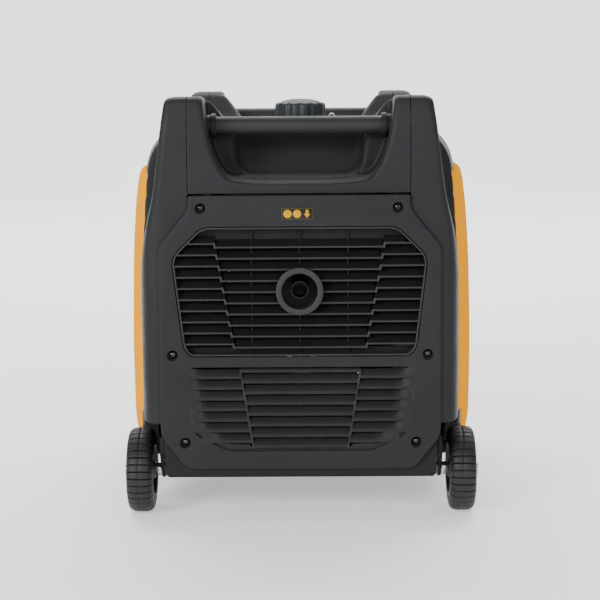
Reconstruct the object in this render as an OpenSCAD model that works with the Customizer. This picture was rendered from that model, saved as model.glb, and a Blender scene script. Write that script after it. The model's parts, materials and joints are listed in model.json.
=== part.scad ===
// Inverter generator on two wheels, carried by two cross bars and towed by a telescoping pull handle.
// Units are millimetres. +Z is up, +Y runs from the exhaust end to the control-panel end, the ground is Z = 0.

/* [Body] */
// Height of the handle towers above the ground
tower_z = 511; // [508:1:516]
// Height of the top deck between the towers
deck_z = 462; // [459:1:464]
// Height of the base tray's underside above the ground
base_z = 56; // [54:1:57]
// Wall thickness of the moulded shells
wall = 3; // [2.5:0.5:3.5]

/* [Louvres] */
// Pitch of the slats in the outlet grille
slat_pitch = 13.3; // [13:0.1:13.4]
// Thickness of one slat
slat_t = 1.8; // [1.5:0.1:2.2]
// Outside radius of the ring round the exhaust outlet
ring_r = 28; // [26:0.5:30]

/* [Handles] */
// Diameter of the cross bars
bar_d = 22; // [20:1:24]
// Height of the cross bars' centre line
bar_z = 475.5; // [474:0.5:478]
// Diameter of the pull handle's tubes
tube_d = 14; // [12:1:15]

/* [Wheels] */
// Wheel diameter over the tread
wheel_d = 104; // [100:1:106]
// Wheel width
wheel_w = 32; // [28:1:34]
// Number of tread lugs
lugs = 36; // [24:1:40]

/* [Fuel cap] */
// Diameter of the fuel cap
cap_d = 67; // [62:1:70]
// Number of grip flutes round the cap
flutes = 14; // [12:1:22]

/* [Colours] */
shell_c = "#3a3b3d"; // ["#3a3b3d", "#2b2c2e"]
panel_c = "#f4b21b"; // ["#f4b21b", "#e08a1e"]

/* [Hidden] */

ry = -268;          // rear face of the shells
fy = 240;           // front face of the shells
seam = 0.6;         // half of a visible seam between shells
wy = -205;          // wheel axle, Y
wz = wheel_d / 2;   // wheel axle, Z
ex_z = 283;         // exhaust outlet axis, Z
by = -215;          // rear cross bar, Y
bfy = fy - 53;          // front cross bar, Y
ty_z = 376;         // pull handle tubes, Z
ty_x = 112;         // pull handle tubes, X
fit = 0.06;         // radial clearance of every running fit
$fn = 64;

function unit(v) = v / norm(v);
// moves every edge of an anticlockwise polygon inwards by d
function inset(p, d) = let (n = len(p)) [for (i = [0:n - 1]) let (a = p[(i + n - 1) % n], b = p[i], c = p[(i + 1) % n],
  u = unit(b - a), v = unit(c - b), m = [-u[1], u[0]], k = [-v[1], v[0]]) b + (m + k) * d / (1 + m * k)];
// right half, listed from the top to the bottom, to a whole anticlockwise outline
function both(h) = concat([for (q = h) [-q[0], q[1]]], [for (i = [len(h) - 1:-1:0]) h[i]]);

module along_y(p, y0, y1) { translate([0, y1, 0]) rotate([90, 0, 0]) linear_extrude(y1 - y0) polygon(p); }
module along_x(p, x0, x1) { translate([x0, 0, 0]) rotate([90, 0, 90]) linear_extrude(x1 - x0) polygon(p); }
module along_z(p, z0, z1) { translate([0, 0, z0]) linear_extrude(z1 - z0) polygon(p); }
module rod_x(r, x0, x1, y, z) { translate([x0, y, z]) rotate([0, 90, 0]) cylinder(r = r, h = x1 - x0); }
module rod_y(r, y0, y1, x, z) { translate([x, y1, z]) rotate([90, 0, 0]) cylinder(r = r, h = y1 - y0); }
module rod_z(r, z0, z1, x, y) { translate([x, y, z0]) cylinder(r = r, h = z1 - z0); }
module box(a, b) { translate(a) cube(b - a); }

// outlines, right half, seen from the rear
cover_h = [[126, 396.5], [130, 392], [130.5, 380], [136, 369], [161, 343], [165.5, 335], [166.5, 328], [166.5, 118], [164.5, 106], [160, 97], [141, 74.5], [134, 69.5], [126, 67.5]];
grille_h = [[106, 358.5], [113, 356.5], [119, 352], [144, 328], [149, 321], [150.5, 313], [138.5, 213], [136, 208], [131, 205], [126, 204.5]];
lower_h = [[122, 191.5], [130, 189.5], [135, 184], [135, 178], [126.5, 114], [122, 108.5], [88, 91.5], [82, 90]];
panel_h = [[102, 350], [110, 347.5], [138, 321], [143, 312], [143, 128], [139, 119], [128, 108], [118, 104]];
cover = both(cover_h);
grille = both(grille_h);
lower = both(lower_h);
cpanel = both(panel_h);

// outer skin of the ends and of the middle, right half
end_h = [[140, tower_z], [149, tower_z - 2.5], [155, tower_z - 8], [158.5, tower_z - 17], [162.5, 472], [165.5, 452], [169.5, 418], [174, 391], [181, 366], [187.5, 347], [191.5, 325], [193.5, 300], [194.5, 240], [194.5, 160], [193.5, 100], [188, 62], [184, 58]];
mid_h = [[172, deck_z], [180, deck_z - 3], [186, 453.5], [190, 448], [193.5, 441], [196.5, 433], [198.5, 424], [199, 415], [202.5, 383], [205, 347], [207, 250], [207.4, 200], [206.7, 130], [205, 90], [203, 70], [198, 60], [184, 58]];
mid_r = 1246;       // the middle bows outwards from end to end on this radius
end_sec = both(end_h);
plan = [[-150, ry], [150, ry], [166, ry + 2], [178, ry + 7], [187, ry + 17], [193, ry + 30], [196, ry + 52], [198, -184], [198, 176], [196, fy - 50], [193, fy - 29], [187, fy - 16], [178, fy - 7], [166, fy - 2], [150, fy], [-150, fy],
  [-166, fy - 2], [-178, fy - 7], [-187, fy - 16], [-193, fy - 29], [-196, fy - 50], [-198, 176], [-198, -184], [-196, ry + 52], [-193, ry + 30], [-187, ry + 17], [-178, ry + 7], [-166, ry + 2]];
side = [[ry, 57], [ry + 6, 52], [fy - 6, 52], [fy, 57], [fy, 400], [fy - 3, 476], [fy - 8, 493], [fy - 16, 504], [fy - 28, 510], [fy - 40, tower_z], [fy - 64, tower_z], [fy - 76, tower_z - 5], [fy - 86, tower_z - 16], [fy - 104, 474], [fy - 114, deck_z + 3], [fy - 126, deck_z],
  [ry + 126, deck_z], [ry + 114, deck_z + 3], [ry + 104, 474], [ry + 86, tower_z - 16], [ry + 76, tower_z - 5], [ry + 64, tower_z], [ry + 40, tower_z], [ry + 28, 510], [ry + 16, 504], [ry + 8, 493], [ry + 3, 476], [ry, 400]];

// hand scoop under a cross bar: opening seen from the end, and its floor seen from the side
scoop_h = [[112.5, 530], [112.5, 500], [109, 484], [109, 470], [104, 450], [94, 427], [88, 417.5], [80, 411], [70, 408]];
scoop = both(scoop_h);
// narrower opening beyond the bar, where the towers' flanks slope towards the deck
flank_h = [[110, 530], [110, 505], [86, 474], [80, 450], [76, 430], [70, 417], [62, 410], [50, 408.5]];
flank = both(flank_h);
function scoop_side(m) = [[m * 300, 408], [m * 262, 408], [m * 238, 405], [m * 200, 409], [m * 176, 424], [m * 163, 444], [m * 156, 470], [m * 156, 530], [m * 300, 530]];

// ---------------------------------------------------------------- shells
// a half section h, widest at y = -4, bowed outwards from end to end on radius r (right-hand side)
module bowed(h, r, d) {
  x = max([for (q = h) q[0]]);
  n = len(h);
  p = concat([[r - x, h[n - 1][1]]], [for (i = [n - 1:-1:0]) [h[i][0] + r - x, h[i][1]]], [[r - x, h[0][1]]]);
  translate([x - r, -4, 0]) rotate([0, 0, -30]) rotate_extrude(angle = 60, $fn = 360) polygon(inset(p, d));
}
module skin(d) {
  intersection() {
    union() {
      intersection() { along_y(inset(end_sec, d), ry - 2, fy + 2); along_z(inset(plan, d), 40, 530); }
      intersection() { bowed(mid_h, mid_r, d); box([20, -186 + d, 40], [230, 178 - d, 530]); }
    }
    along_x(inset(side, d), -230, 230);
  }
}

module side_frame() { // right-hand one
  color(shell_c) {
    difference() {
      union() {
        difference() {
          skin(0);
          skin(wall);
          box([-300, -300, 0], [131.2, 300, 600]);                               // up to the top cover's seam
          box([120, -183, 72], [230, 175, 418.6]);                               // opening for the side panel
        }
        intersection() {
          skin(1);
          union() {
            box([176, -184, 70], [179, 176, 421]);                             // inner wall behind the side panel
            // screw tabs
            box([107, ry + 10.5, 374.5], [150, ry + 15, 388.5]);
            box([137, ry + 1, 374.5], [150, ry + 15, 388.5]);
            box([144.5, ry + 10.5, 199], [200, ry + 15, 213]);
            box([144.5, fy - 15, 199], [200, fy - 10.5, 213]);
            // bosses behind the cross bars
            for (y = [by, bfy]) rod_x(14, 131.3, 170, y, bar_z);
          }
        }
      }
      along_y(inset(cover, -seam), ry - 5, ry + 9);                              // rear cover
      along_y(inset(cover, -seam), fy - 9, fy + 5);                              // front cover
      box([162.6, -290, 30], [230, wy + 62, 122]);                                 // wheel arch
      box([100, -290, 30], [163.5, 290, 101]);                                   // base tray
      for (s = [[151.5, 206], [116, 381]]) rod_y(2, ry + 5, ry + 40, s[0], s[1]);
      rod_y(2, fy - 40, fy - 5, 151.5, 206);
    }
  }
}
module left_side_frame() { mirror([1, 0, 0]) side_frame(); }
module right_side_frame() { side_frame(); }

module top_solid(d) {
  intersection() {
    along_y([[-130.6 + d, 397.7 - (d > 0 ? 30 : 0)], [130.6 - d, 397.7 - (d > 0 ? 30 : 0)], [130.6 - d, 530], [-130.6 + d, 530]], ry + d, fy - d);
    along_x(inset(side, d), -230, 230);
  }
}
module scoops(d) {
  for (m = [-1, 1]) intersection() {
    union() {
      along_y(inset(scoop, -d), m < 0 ? -300 : 168 - d, m < 0 ? -196 + d : 300);
      along_y(inset(flank, -d), m < 0 ? -300 : 130, m < 0 ? -130 : 300);
    }
    translate([0, m < 0 ? 0 : fy + ry, 0]) along_x(inset(m < 0 ? scoop_side(-1) : [for (i = [8:-1:0]) scoop_side(1)[i]], -d), -230, 230);
  }
}
module top_cover() {
  color(shell_c) difference() {
    top_solid(0);
    difference() { top_solid(wall); scoops(wall); }
    scoops(0);
    rod_z(27, 430, 480, 0, 10);                                                  // fuel neck
    rod_z(17, 430, 480, 76, 42);                                                 // fuel gauge
    for (y = [by, bfy]) rod_x(bar_d / 2 + 0.15, -135, 135, y, bar_z);            // cross bars
  }
}

// one slat: a front lip and a blade that rises inwards, from x0 to x1 with the lip's centre at z
module slat(x0, x1, z, y, depth, rise, lip) {
  along_x([[y, z - lip / 2], [y + 1.6, z - lip / 2], [y + depth, z + rise - slat_t / 2], [y + depth, z + rise + slat_t / 2], [y + 1.6, z + lip / 2 + 0.4], [y, z + lip / 2]], x0, x1);
}
module side_slats(n, z0, pitch, x_in0, x_in1, x_out, y, depth, rise, lip) {
  for (i = [0:n - 1]) { xi = x_in0 + (x_in1 - x_in0) * i / (n - 1); slat(xi, x_out, z0 - i * pitch, y, depth, rise, lip); mirror([1, 0, 0]) slat(xi, x_out, z0 - i * pitch, y, depth, rise, lip); }
}
// the slanting web that joins side and middle slats
module step_web(x0, z0, x1, z1, y, depth) {
  for (m = [0, 1]) mirror([m, 0, 0]) translate([0, y + depth, 0]) rotate([90, 0, 0]) linear_extrude(depth) polygon([[x0 - 1, z0], [x0 + 1, z0], [x1 + 1, z1], [x1 - 1, z1]]);
}

cover_screw_xz = [[116, 381], [151.5, 206], [138, 100]];
module screw_wells(y, m) { // m = 1 for wells that open to -Y
  for (s = cover_screw_xz) for (k = [-1, 1]) rod_y(8, m > 0 ? y + 1 : y - 11, m > 0 ? y + 11 : y - 1, k * s[0], s[1]);
}
module rear_cover() {
  y = ry - 3;
  color(shell_c) difference() {
    union() {
      difference() {
        along_y(inset(cover, 0), y, y + 11);
        along_y(inset(cover, wall), y + wall, y + 12);
      }
      difference() { intersection() { screw_wells(y + 1, 1); along_y(inset(cover, 1), y, y + 13); } along_y(inset(cover, -5), y + 12, y + 20); }
      intersection() {
        union() {
          side_slats(7, 179.5, 13, 70.5, 58.5, 140, y + 1, 7, 7.5, 3);
          for (i = [0:7]) slat(-71.8 + 2.05 * i, 71.8 - 2.05 * i, 187.2 - 13.1 * i, y + 1, 7, 7.5, 3);
          step_web(71.8, 191, 57.2, 92, y + 1, 8);
        }
        along_y(lower, y, y + 11);
      }
    }
    difference() { along_y(inset(lower, 1.2), y - 1, y + 8); // open face of the lower louvres
      union() {
        side_slats(7, 179.5, 13, 70.5, 58.5, 140, y + 1, 7, 7.5, 3);
        for (i = [0:7]) slat(-71.8 + 2.05 * i, 71.8 - 2.05 * i, 187.2 - 13.1 * i, y + 1, 7, 7.5, 3);
        step_web(71.8, 191, 57.2, 92, y + 1, 8);
      }
    }
    along_y(inset(grille, -seam), y - 1, y + 14);
    for (s = cover_screw_xz) for (k = [-1, 1]) { rod_y(6.2, y - 1, y + 8.5, k * s[0], s[1]); rod_y(2.2, y, y + 20, k * s[0], s[1]); }
  }
}

module outlet_grille() {
  y = ry - 2.4;
  color(shell_c) difference() {
    union() {
      difference() { along_y(grille, y, y + 16); along_y(inset(grille, 2.2), y - 1, y + 17); }
      intersection() {
        union() {
          side_slats(10, 339.4, slat_pitch, 100, 79.5, 160, y + 1, 14, 10.5, 2.2);
          for (i = [0:9]) slat(-100 + 2.28 * i, 100 - 2.28 * i, 335 - slat_pitch * i, y + 1, 14, 10.5, 2.2);
          step_web(100.6, 344, 78.4, 211, y + 1, 12);
          for (x = [-57, 0, 57]) box([x - 0.9, y + 8, 205], [x + 0.9, y + 16, 358]);
        }
        along_y(inset(grille, 1), y, y + 16);
      }
      rod_y(ring_r, ry - 8, ry + 12, 0, ex_z);
    }
    rod_y(ring_r - 6.6, ry - 9, ry + 20, 0, ex_z);
  }
}

module front_cover() {
  y = fy + 3;
  color(shell_c) difference() {
    union() {
      difference() { along_y(cover, y - 11, y); along_y(inset(cover, wall), y - 12, y - wall); }
      intersection() { screw_wells(y - 1, -1); along_y(inset(cover, 1), y - 12, y); }
      difference() { along_y(inset(cpanel, -2), y - 12, y - 1); }
      box([-98, y - 14, 359], [98, y - 1, 392]);                                 // tub behind the grip
      for (k = [-1, 1]) rod_y(12, y - 14, y - 1, k * ty_x, ty_z);
      box([-90, y - 9, 72], [90, y - 1, 97]);
    }
    along_y(inset(cpanel, 0), y - 13, y + 1);
    box([-95.5, y - 11.5, 361.5], [95.5, y + 1, 389.5]);
    for (k = [-1, 1]) rod_y(tube_d / 2 + 0.3, y - 20, y + 1, k * ty_x, ty_z);
    for (i = [0:3]) box([-84, y - 20, 75 + 5.4 * i], [84, y + 1, 78 + 5.4 * i]);
    for (s = [[151.5, 206], [138, 100]]) for (k = [-1, 1]) { rod_y(6.2, y - 8.5, y + 1, k * s[0], s[1]); rod_y(2.2, y - 20, y, k * s[0], s[1]); }
  }
}

// control panel and what is on it
py = fy - 9; // its outer face
sock = [[-62, 168], [62, 168]];
module control_panel() {
  color("#2a2b2d") difference() {
    union() { along_y(inset(cpanel, 0.5), py - 3, py); for (x = [-112.6, -89.8]) box([x, py - 12, 222], [x + 2.4, py, 238]); rod_y(11, py - 10, py, 102, 292); rod_y(13, py - 10, py, 62, 300); rod_y(10, py - 10, py, 0, 196); }
    rod_x(2 + fit, -115, -85, py - 4, 230);
    for (s = sock) rod_y(25.2, py - 5, py + 1, s[0], s[1]);
    rod_y(6 + fit, py - 15, py + 1, 102, 292);          // engine switch
    box([-110.2, py - 5, 216], [-89.8, py + 1, 244]);  // eco rocker
    rod_y(9 + fit, py - 15, py + 1, 62, 300);           // start button
    rod_y(6 + fit, py - 15, py + 1, 0, 196);            // breaker
    box([-106, py - 5, 270], [-14, py + 1, 322]);      // display
    rod_y(10.2, py - 5, py + 1, 24, 240);              // dc socket
    box([52, py - 5, 232], [84, py + 1, 248]);         // usb block
    rod_y(3.1, py - 5, py + 1, 0, 140);                // earth stud
    for (x = [-34, -12]) rod_y(5.2, py - 5, py + 1, x, 240);
  }
}
module ac_sockets() {
  color("#1d1e20") for (s = sock) difference() {
    union() { rod_y(25, py - 26, py + 1, s[0], s[1]); rod_y(29, py, py + 2.8, s[0], s[1]); for (k = [-1, 1]) box([s[0] + k * 11.5 - 2.5, py, s[1] + 26.5], [s[0] + k * 11.5 + 2.5, py + 5.2, s[1] + 33.4]); }
    rod_y(19.5, py - 17, py + 4, s[0], s[1]);
    for (k = [-9.5, 9.5]) rod_y(2.5, py - 24, py, s[0] + k, s[1]);
    rod_x(1.5 + fit, s[0] - 14.1, s[0] + 14.1, py + 2.8, s[1] + 31);
    box([s[0] - 9, py - 1, s[1] + 27.9], [s[0] + 9, py + 9, s[1] + 35]);
  }
}
module socket_lid(s) {
  color("#26282b") {
    rod_y(27, py + 3.3, py + 6.3, s[0], s[1]);
    rod_y(18.8, py + 1, py + 3.4, s[0], s[1]);
    box([s[0] - 8.6, py + 3.3, s[1] + 20], [s[0] + 8.6, py + 6.3, s[1] + 31]);
    rod_x(2.4, s[0] - 8.6, s[0] + 8.6, py + 2.8, s[1] + 31);
    rod_x(1.5, s[0] - 13.8, s[0] + 13.8, py + 2.8, s[1] + 31);
    box([s[0] - 8, py + 3.3, s[1] - 31], [s[0] + 8, py + 6.3, s[1] - 24]);
  }
}
module left_socket_lid() { socket_lid(sock[0]); }
module right_socket_lid() { socket_lid(sock[1]); }
module engine_switch() {
  color("#c8352b") { rod_y(17, py + 0.6, py + 8, 102, 292); box([98.5, py + 7, 276.5], [105.5, py + 20, 307.5]); rod_y(6, py - 10, py + 1, 102, 292); }
}
module eco_rocker() {
  color("#1b1c1e") translate([-100, py - 4, 230]) rotate([-9, 0, 0]) {
    difference() { box([-9.6, -7, -13], [9.6, 6.6, 13]); translate([-20, 61.4, 0]) rotate([0, 90, 0]) cylinder(r = 57.2, h = 40, $fn = 160); }
    rod_x(2, -12.4, 12.4, 0, 0);
  }
}
module start_button() { color("#2f9e44") { rod_y(9, py - 10, py + 4, 62, 300); } }
module ac_breaker() { color("#111213") rod_y(6, py - 12, py + 5, 0, 196); }
module display_lens() { color("#0d1a20") { box([-105.5, py - 2.5, 270.5], [-14.5, py - 0.4, 321.5]); } }
// dc socket, usb block, pilot lamps and earth stud
module dc_panel_group() {
  color("#1d1e20") {
    difference() { rod_y(10, py - 22, py + 2.4, 24, 240); rod_y(7.6, py - 18, py + 3, 24, 240); }
    difference() { box([52.3, py - 12, 232.3], [83.7, py + 1, 247.7]); for (x = [55, 70]) box([x, py - 8, 236], [x + 11, py + 2, 244]); }
    for (x = [-34, -12]) rod_y(5, py - 6, py + 1.6, x, 240);
  }
  color("#c9a227") { rod_y(3, py - 14, py + 14, 0, 140); rod_y(7, py + 0.02, py + 4, 0, 140); }
}

// yellow side panel, right-hand one
pan_h = [[200, 417.6], [205, 417.4], [209, 415], [211.6, 410], [214.5, 390], [217, 369], [219.6, 342], [221.6, 301], [223, 260], [223.8, 226], [224, 190], [223.8, 155], [223.2, 110], [222, 92], [219.5, 79], [214, 73.4], [206, 72.6]];
pan_r = 600;        // the panel bows outwards from end to end on this radius
module panel_solid(d) { intersection() { bowed(pan_h, pan_r, d); box([20, -182.4 + d, 60], [230, 174.4 - d, 430]); } }
module side_panel() {
  color(panel_c) difference() {
    panel_solid(0);
    panel_solid(wall);
    box([-300, -300, 0], [180, 300, 500]);
    rod_x(wheel_d / 2 + 6, 150, 240, wy, wz);                                               // wheel arch
    for (i = [0:6]) box([200, 66, 130 + 14 * i], [230, 150, 136 + 14 * i]);                 // air slots
  }
}
module right_side_panel() { side_panel(); }
module left_side_panel() {
  color(panel_c) difference() {
    mirror([1, 0, 0]) side_panel();
    box([-230, -30, 262], [-170, 70, 328]);                                       // recoil bezel
  }
}
module recoil_bezel() {
  color("#242527") difference() {
    box([-221, -29.6, 262.4], [-196, 69.6, 327.6]);
    box([-230, -26, 266], [-199, 66, 324]);
    rod_x(5, -210, -190, 20, 295);
  }
}
module recoil_grip() {
  color("#18191a") {
    box([-220.4, -8, 285], [-210, 48, 305]);
    for (y = [-8, 48]) rod_x(10, -220.4, -210, y, 295);
    box([-210.1, 6, 286], [-200, 34, 304]);
    rod_x(3, -201, -186, 20, 295);
  }
}

// ---------------------------------------------------------------- base, wheels, feet
module base_tray() {
  color("#2f3032") difference() {
    union() {
      difference() { box([-163, -262, base_z], [163, fy - 6, 100]); box([-160, -259, base_z + 3], [160, fy - 9, 101]); }
      for (k = [-1, 1]) { box([k > 0 ? 130 : -161, ry + 10.5, 93], [k > 0 ? 161 : -130, ry + 15, 107]); box([k > 0 ? 130 : -161, fy - 15, 93], [k > 0 ? 161 : -130, fy - 10.5, 107]); }
      for (x = [-120, 120]) box([x - 6, -255, base_z + 2], [x + 6, fy - 11, base_z + 12]);
      box([-100, -60, base_z + 2], [100, -32, base_z + 16]);
      box([-100, 46, base_z + 2], [100, 74, base_z + 16]);
    }
    difference() { box([-200, -270, base_z - 1], [200, -253, 101]); along_y(both([[163, 101], [163, base_z + 4], [159, base_z]]), -270, -240); }
    along_y(inset(cover, -seam), ry - 5, ry + 9);
    along_y(inset(cover, -seam), fy - 9, fy + 5);
    for (x = [-60, 60]) for (y = [-150, 0, 130]) rod_z(8, base_z - 1, base_z + 4, x, y); // drain holes
    for (k = [-1, 1]) { rod_y(2, ry, ry + 20, k * 138, 100); rod_y(2, fy - 20, fy, k * 138, 100); rod_z(4, base_z - 1, base_z + 20, k * 128, 205); }
  }
}
module wheel_bracket() { // right-hand one
  difference() {
    union() {
      along_x([[wy - 11, 52], [wy - 8, 45], [wy - 3, 42.6], [wy + 3, 42.6], [wy + 8, 45], [wy + 11, 52], [wy + 34, 78], [wy + 34, 100], [wy - 34, 100], [wy - 34, 78]], 168, 172);
      box([163.1, wy - 34, 74], [168.1, wy + 34, 98]);
    }
    rod_x(5.05, 160, 180, wy, wz);
  }
}
module wheel_brackets() { color("#1c1d1f") { wheel_bracket(); mirror([1, 0, 0]) wheel_bracket(); } }
module axle_bolt() {
  rod_x(5, 163.6, 214, wy, wz);
  translate([163.6, wy, wz]) rotate([0, 90, 0]) difference() { cylinder(r = 8.2, h = 4.3, $fn = 6); translate([0, 0, -1]) cylinder(r = 4.9, h = 7); }
  difference() { rod_x(8, 172.02, 180.8, wy, wz); rod_x(4.9, 170, 182, wy, wz); }
  rod_x(8, 213.6, 218, wy, wz);
}
module axle_bolts() { color("silver") { axle_bolt(); mirror([1, 0, 0]) axle_bolt(); } }
wx0 = 181.2;
wx1 = wx0 + wheel_w;
module tyre() {
  r = wheel_d / 2;
  difference() {
    translate([wx0, wy, wz]) rotate([0, 90, 0]) rotate_extrude($fn = 120)
      polygon([[35, 1], [r - 9, 0.4], [r - 4.5, 1.5], [r - 1.4, 4], [r, 7.5], [r, wheel_w - 7.5], [r - 1.4, wheel_w - 4], [r - 4.5, wheel_w - 1.5], [r - 9, wheel_w - 0.4], [35, wheel_w - 1]]);
    for (i = [0:lugs - 1]) translate([0, wy, wz]) rotate([(i + 0.5) * 360 / lugs, 0, 0]) translate([0, 0, r - 1.8]) { translate([wx0 - 1, -0.8, 0]) cube([wheel_w + 2, 1.6, 4]); }
  }
}
module rim() {
  difference() {
    translate([wx0, wy, wz]) rotate([0, 90, 0]) union() {
      difference() { cylinder(r = 35, h = wheel_w); translate([0, 0, -1]) cylinder(r = 30.5, h = wheel_w + 2); }
      cylinder(r = 11, h = wheel_w);
      translate([0, 0, wheel_w / 2 - 2]) cylinder(r = 31, h = 4);
      for (i = [0:5]) rotate([0, 0, i * 60]) translate([10, -2, 4]) cube([21, 4, wheel_w - 8]);
    }
    rod_x(5 + fit, wx0 - 1, wx1 + 1, wy, wz);
  }
}
module right_tyre() { color("#222324") tyre(); }
module right_rim() { color("#2a2b2d") rim(); }
module left_tyre() { color("#222324") mirror([1, 0, 0]) tyre(); }
module left_rim() { color("#2a2b2d") mirror([1, 0, 0]) rim(); }
module rubber_feet() {
  color("#1a1a1b") for (k = [-1, 1]) difference() {
    union() { translate([k * 128, 205, 0]) cylinder(r1 = 21, r2 = 24, h = base_z); }
    rod_z(4, 30, base_z + 1, k * 128, 205);
  }
}

// ---------------------------------------------------------------- handles
module carry_bar(y) { rod_x(bar_d / 2, -131.1, 131.1, y, bar_z); }
module rear_carry_bar() { color("#303133") difference() { carry_bar(by); rod_x(bar_d / 2 - 2, -140, 140, by, bar_z); } }
module front_carry_bar() { color("#303133") difference() { carry_bar(bfy); rod_x(bar_d / 2 - 2, -140, 140, bfy, bar_z); } }
module bar_collars() {
  color("#1c1d1f") for (y = [by, bfy]) for (k = [-1, 1]) difference() {
    union() { rod_x(13.4, k > 0 ? 99 : -106.4, k > 0 ? 106.4 : -99, y, bar_z); box([k > 0 ? 99 : -104, y - 4, bar_z - 16], [k > 0 ? 104 : -99, y + 4, bar_z]); }
    rod_x(bar_d / 2 + 0.02, -130, 130, y, bar_z);
  }
}
module handle_guides() {
  color("silver") for (k = [-1, 1]) difference() {
    union() { rod_y(tube_d / 2 + 2, 20, fy - 11.1, k * ty_x, ty_z); for (y = [40, 150]) box([k > 0 ? ty_x : -175.9, y, ty_z - 12], [k > 0 ? 175.9 : -ty_x, y + 4, ty_z + 8]); }
    rod_y(tube_d / 2 + fit, 10, 250, k * ty_x, ty_z);
  }
}
module pull_handle_tubes() { color("#2b2c2e") for (k = [-1, 1]) rod_y(tube_d / 2, -176, fy + 18, k * ty_x, ty_z); }
module pull_handle_grip() {
  g = fy + 13;
  color("#1d1e1f") difference() {
    along_x([[g, 366], [g + 4, 362.5], [g + 13, 362], [g + 19, 365], [g + 21, 371], [g + 21, 381], [g + 19, 387], [g + 13, 390], [g + 4, 389.5], [g, 386]], -127, 127);
    for (k = [-1, 1]) rod_y(tube_d / 2, g - 10, fy + 18, k * ty_x, ty_z);
    box([-16.3, g + 14, 369.7], [16.3, g + 30, 382.3]);
  }
}
module release_button() { color("#8a8d90") box([-16, fy + 31, 370], [16, fy + 36, 382]); }

// ---------------------------------------------------------------- fuel system
module fuel_cap_insert() { color("#151617") { difference() { union() { rod_z(20.74, 458, 486, 0, 10); rod_z(26, 474.2, 477, 0, 10); } rod_z(17.5, 450, 483, 0, 10); } } }
module fuel_cap() {
  color("#3c3f42") difference() {
    union() {
      translate([0, 10, 466]) linear_extrude(31) difference() { circle(cap_d / 2); for (i = [0:flutes - 1]) rotate(i * 360 / flutes) translate([cap_d / 2 + 2.6, 0]) circle(4); }
      translate([0, 10, 490]) rotate_extrude($fn = 128) polygon([[0, 0], [cap_d / 2 - 1.7, 0], [cap_d / 2 - 1.7, 7.4], [cap_d / 2 - 4, 8.8], [22, 11.4], [11, 12.8], [0, 13]]);
    }
    rod_z(20.76, 460, 486.1, 0, 10);
    rod_z(28, 460, 478, 0, 10);
  }
}
module fuel_tank() {
  color("#25272a") difference() {
    union() { box([-96, -112, 338], [96, 140, 430]); box([-80, -100, 430], [80, 128, 435.9]); rod_z(25.5, 430, 473.6, 0, 10); for (y = [-90, 100]) box([-175.9, y, 338], [175.9, y + 16, 341.5]); }
    box([-93, -109, 341], [93, 137, 427]);
    box([-77, -97, 426], [77, 125, 432.6]);
    rod_z(20.8, 425, 480, 0, 10);
  }
}
module tether_eye() {
  color("silver") translate([42, 10, 0]) { translate([0, 0, 478.6]) rotate([90, 0, 0]) rotate_extrude($fn = 48) translate([4, 0]) circle(r = 1, $fn = 24); translate([0, 0, deck_z]) cylinder(r = 1.4, h = 12.2); translate([0, 0, deck_z]) cylinder(r = 4, h = 1.6); }
}
module fuel_gauge_bezel() { color("#1b1c1e") difference() { union() { rod_z(16.6, 448, deck_z + 2.4, 76, 42); rod_z(20, deck_z, deck_z + 2.4, 76, 42); } difference() { rod_z(14.6, 450, deck_z + 3, 76, 42); rod_z(0.8, 449, 456.6, 76, 42); } } }
module fuel_gauge_lens() { color([0.8, 0.9, 0.95, 0.4]) rod_z(14.5, deck_z - 2.4, deck_z + 1.4, 76, 42); }
module fuel_gauge_needle() { color("#d0342c") difference() { union() { rod_z(2.4, 451, 456, 76, 42); box([75, 43, 453.5], [77, 53.5, 455]); } rod_z(0.8 + fit, 450, 457, 76, 42); } }

// ---------------------------------------------------------------- engine and generator
cz = 158; // crankshaft axis, Z
module exhaust_pipe() { color("#6f6a64") difference() { rod_y(10.6, -262, -213.8, 0, ex_z); rod_y(9, -263, -236, 0, ex_z); } }
module muffler() {
  color("#77726b") {
    along_x([[-213.8, 246], [-210, 238], [-126, 238], [-122, 246], [-122, 318], [-126, 326], [-210, 326], [-213.8, 318]], -86, 86);
    rod_y(15, -122.1, -92, -30, 262);
  }
}
module engine_block() {
  color("#a3a6a8") difference() {
    union() {
      box([-74, -52, 78], [74, 66, 214]);
      box([-96, -60, base_z + 16], [96, 65.9, 84]);
      for (i = [0:6]) box([-52 - (i % 2) * 3, -50, 217 + 9 * i], [52 + (i % 2) * 3, 54, 221 + 9 * i]);
      box([-40, -40, 213], [40, 44, 282]);
      rod_y(45.9, 65, 104, 0, cz);
    }
    rod_y(60, -40, 54, 0, cz);
    rod_y(12.5, -60, 110, 0, cz);
    rod_y(22, -60, -42, 0, cz);
    rod_y(22, 56, 74, 0, cz);
  }
}
module crank_bearings() { color("silver") for (y = [-52, 56]) difference() { rod_y(22, y, y + 10, 0, cz); rod_y(12 + fit, y - 1, y + 11, 0, cz); } }
module cylinder_head() { color("#b4b7b9") { box([-50, -50, 282.1], [50, 54, 300]); box([-34, -44, 300], [34, 40, 318]); rod_y(15, -91.9, -49.9, -30, 291); translate([-30, -77, 262]) cylinder(r = 14.8, h = 30); } }
module carburettor() { color("#9b9ea0") { box([58, -42, 222], [92, -14, 262]); rod_x(11, 55.05, 60, -28, 240); rod_z(13, 214.4, 223, 75, -28); } }
module air_filter_box() { color("#202123") { box([96, -100, 216], [164, 24, 322]); rod_x(11, 92, 97, -28, 240); } }
module alternator_stator() { color("#8c4a2f") difference() { rod_y(72, 70, 104, 0, cz); rod_y(46, 68, 106, 0, cz); for (i = [0:17]) translate([0, 0, cz]) rotate([0, i * 20, 0]) box([-3.4, 69, 44], [3.4, 105, 64]); } }
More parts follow.
